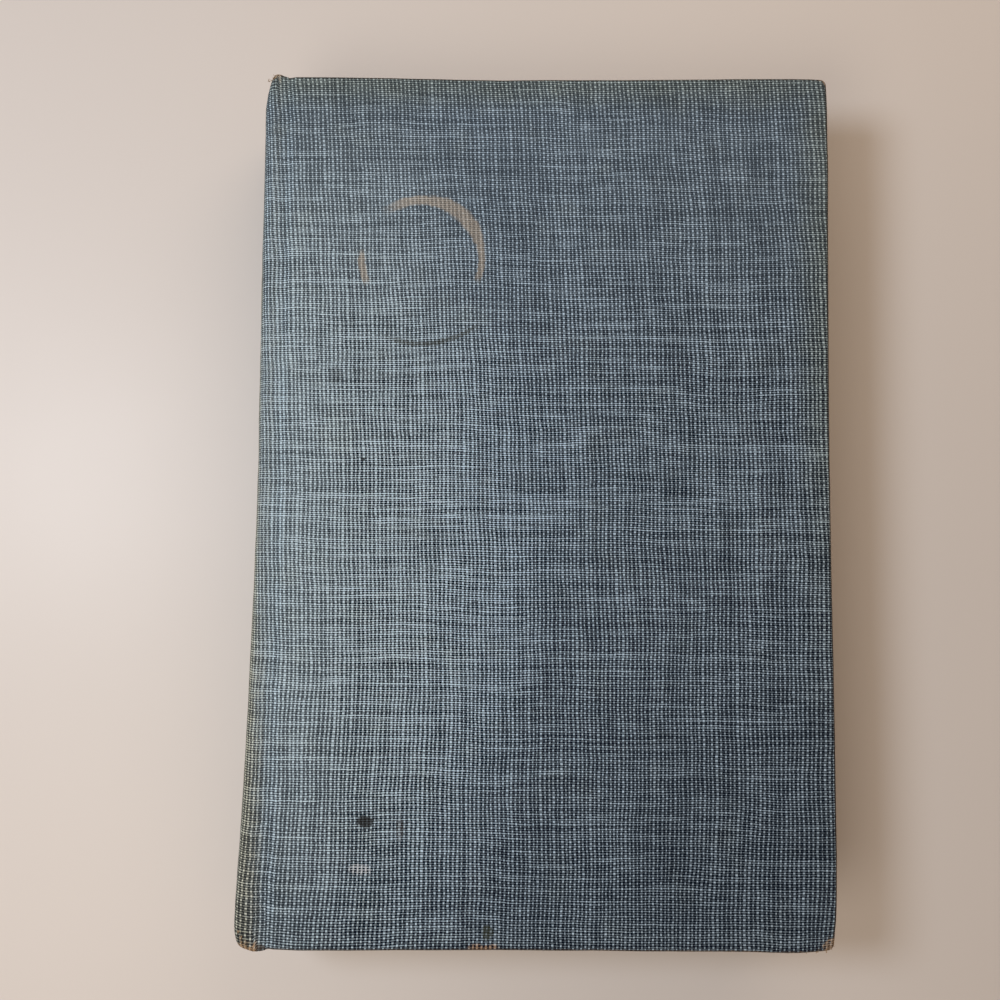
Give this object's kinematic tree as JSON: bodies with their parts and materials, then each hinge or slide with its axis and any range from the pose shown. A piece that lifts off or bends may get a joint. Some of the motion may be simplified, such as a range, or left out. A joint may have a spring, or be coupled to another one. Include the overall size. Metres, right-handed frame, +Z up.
{
  "type": "hardback book",
  "caption": "Cloth-covered hardback book lying shut, with a rounded spine, grooved joints, stiff boards that swing open and a solid block of leaves.",
  "frame": {"origin": "middle of the book's footprint, on the surface that its back cover rests on", "axes": "+X from the spine to the fore edge, +Y from the tail to the head, +Z up out of the front cover"},
  "size_m": [0.1492, 0.2232, 0.0316],
  "materials": {
    "book_cloth": "matte",
    "book_board": "matte",
    "leaf_paper": "matte",
    "endpaper": "matte",
    "mull": "matte",
    "kraft_paper": "matte",
    "headband_thread": "satin",
    "inlay_card": "matte"
  },
  "bodies": {
    "text_block": {"page_block": "leaf_paper", "front_flyleaf": "endpaper", "back_flyleaf": "endpaper", "headband": "headband_thread", "tailband": "headband_thread", "spine_mull": "mull", "spine_lining": "kraft_paper", "spine_inlay": "inlay_card", "spine_cloth": "book_cloth"},
    "front_cover": {"front_board": "book_board", "front_cover_cloth": "book_cloth", "front_mull_flange": "mull", "front_pastedown": "endpaper"},
    "back_cover": {"back_board": "book_board", "back_cover_cloth": "book_cloth", "back_mull_flange": "mull", "back_pastedown": "endpaper"}
  },
  "joints": [
    {"name": "front_cover_hinge", "type": "hinge", "parent": "text_block", "child": "front_cover", "pos_m": [-0.06741, 0, 0.0316], "axis": [0, -1, 0], "range_deg": [0, 175]},
    {"name": "back_cover_hinge", "type": "hinge", "parent": "text_block", "child": "back_cover", "pos_m": [-0.06741, 0, 0], "axis": [0, 1, 0], "range_deg": [0, 175]}
  ]
}
